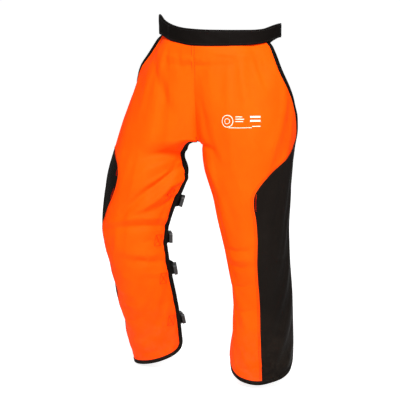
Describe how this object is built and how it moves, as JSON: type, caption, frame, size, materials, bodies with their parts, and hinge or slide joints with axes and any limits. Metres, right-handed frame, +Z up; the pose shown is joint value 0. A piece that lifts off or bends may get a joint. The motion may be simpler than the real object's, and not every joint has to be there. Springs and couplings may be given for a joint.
{
  "type": "chainsaw chaps",
  "caption": "Protective leg chaps for chain saw work: padded front leg covers on a waistband, closed behind each leg with buckled straps.",
  "frame": {"origin": "middle of the waist opening, half way up the waistband", "axes": "+Z up, the wearer faces -Y, wearer's left is +X"},
  "size_m": [0.5468, 0.313, 1.0041],
  "materials": {
    "orange_cloth": "matte woven, fluorescent",
    "black_cloth": "matte woven",
    "waistband_cloth": "matte woven",
    "binding_tape": "ribbed tape",
    "webbing": "woven polyester webbing",
    "lining": "matte polyester",
    "cut_pad": "layered knit",
    "buckle_plastic": "moulded acetal"
  },
  "bodies": {
    "waist": {"waistband": "waistband_cloth", "belt_webbing_right": "webbing", "belt_socket": "buckle_plastic", "belt_adjuster": "buckle_plastic", "belt_keeper_loops": "webbing", "belt_webbing_left": "webbing", "yoke_right": "orange_cloth", "yoke_left": "orange_cloth", "yoke_lining_right": "lining", "yoke_lining_left": "lining", "centre_seam_tape": "orange_cloth", "crotch_binding": "binding_tape", "yoke_bindings": "binding_tape", "hip_fold_right": "orange_cloth", "hip_fold_left": "orange_cloth"},
    "belt_clip": {"belt_clip": "buckle_plastic"},
    "left_thigh": {"thigh_panel_left": "orange_cloth", "thigh_side_panel_left": "black_cloth", "thigh_pad_left": "cut_pad", "thigh_lining_left": "lining", "thigh_bindings_left": "binding_tape", "knee_fold_left": "orange_cloth", "knee_side_fold_left": "black_cloth", "thigh_sockets_left": "buckle_plastic", "leg_strap_left_1": "webbing"},
    "left_shin": {"shin_panel_left": "orange_cloth", "shin_side_panel_left": "black_cloth", "shin_pad_left": "cut_pad", "shin_lining_left": "lining", "shin_bindings_left": "binding_tape", "shin_sockets_left": "buckle_plastic", "leg_strap_left_2": "webbing", "leg_strap_left_3": "webbing", "leg_strap_left_4": "webbing"},
    "left_clip_1": {"leg_clip_left_1": "buckle_plastic"},
    "left_clip_2": {"leg_clip_left_2": "buckle_plastic"},
    "left_clip_3": {"leg_clip_left_3": "buckle_plastic"},
    "left_clip_4": {"leg_clip_left_4": "buckle_plastic"},
    "right_thigh": {"thigh_panel_right": "orange_cloth", "thigh_side_panel_right": "black_cloth", "thigh_pad_right": "cut_pad", "thigh_lining_right": "lining", "thigh_bindings_right": "binding_tape", "knee_fold_right": "orange_cloth", "knee_side_fold_right": "black_cloth", "thigh_sockets_right": "buckle_plastic", "leg_strap_right_1": "webbing"},
    "right_shin": {"shin_panel_right": "orange_cloth", "shin_side_panel_right": "black_cloth", "shin_pad_right": "cut_pad", "shin_lining_right": "lining", "shin_bindings_right": "binding_tape", "shin_sockets_right": "buckle_plastic", "leg_strap_right_2": "webbing", "leg_strap_right_3": "webbing", "leg_strap_right_4": "webbing"},
    "right_clip_1": {"leg_clip_right_1": "buckle_plastic"},
    "right_clip_2": {"leg_clip_right_2": "buckle_plastic"},
    "right_clip_3": {"leg_clip_right_3": "buckle_plastic"},
    "right_clip_4": {"leg_clip_right_4": "buckle_plastic"}
  },
  "joints": [
    {"name": "belt_clip_slide", "type": "slide", "parent": "waist", "child": "belt_clip", "axis": [-1, 0, 0], "range_m": [0, 0.034], "deforming": ["belt_webbing_right"]},
    {"name": "left_hip", "type": "hinge", "parent": "waist", "child": "left_thigh", "pos_m": [0.101, -0.018, -0.24], "axis": [-1, 0, 0], "range_deg": [-10, 30], "deforming": ["hip_fold_left"]},
    {"name": "left_knee", "type": "hinge", "parent": "left_thigh", "child": "left_shin", "pos_m": [0.12455, -0.02791, -0.53], "axis": [1, 0, 0], "range_deg": [0, 55], "deforming": ["knee_fold_left", "knee_side_fold_left"]},
    {"name": "left_clip_slide_1", "type": "slide", "parent": "left_thigh", "child": "left_clip_1", "axis": [0.682, 0.7314, 0], "range_m": [0, 0.028], "deforming": ["leg_strap_left_1"]},
    {"name": "left_clip_slide_2", "type": "slide", "parent": "left_shin", "child": "left_clip_2", "axis": [0.682, 0.7314, 0], "range_m": [0, 0.028], "deforming": ["leg_strap_left_2"]},
    {"name": "left_clip_slide_3", "type": "slide", "parent": "left_shin", "child": "left_clip_3", "axis": [0.682, 0.7314, 0], "range_m": [0, 0.028], "deforming": ["leg_strap_left_3"]},
    {"name": "left_clip_slide_4", "type": "slide", "parent": "left_shin", "child": "left_clip_4", "axis": [0.682, 0.7314, 0], "range_m": [0, 0.028], "deforming": ["leg_strap_left_4"]},
    {"name": "right_hip", "type": "hinge", "parent": "waist", "child": "right_thigh", "pos_m": [-0.184, -0.045, -0.24], "axis": [-1, 0, 0], "range_deg": [-18, 18], "deforming": ["hip_fold_right"]},
    {"name": "right_knee", "type": "hinge", "parent": "right_thigh", "child": "right_shin", "pos_m": [-0.21299, -0.08441, -0.512], "axis": [1, 0, 0], "range_deg": [-26, 30], "deforming": ["knee_fold_right", "knee_side_fold_right"]},
    {"name": "right_clip_slide_1", "type": "slide", "parent": "right_thigh", "child": "right_clip_1", "axis": [-0.4695, 0.8829, 0], "range_m": [0, 0.028], "deforming": ["leg_strap_right_1"]},
    {"name": "right_clip_slide_2", "type": "slide", "parent": "right_shin", "child": "right_clip_2", "axis": [-0.6018, 0.7986, 0], "range_m": [0, 0.028], "deforming": ["leg_strap_right_2"]},
    {"name": "right_clip_slide_3", "type": "slide", "parent": "right_shin", "child": "right_clip_3", "axis": [-0.515, 0.8572, 0], "range_m": [0, 0.028], "deforming": ["leg_strap_right_3"]},
    {"name": "right_clip_slide_4", "type": "slide", "parent": "right_shin", "child": "right_clip_4", "axis": [-0.6947, 0.7193, 0], "range_m": [0, 0.028], "deforming": ["leg_strap_right_4"]}
  ]
}
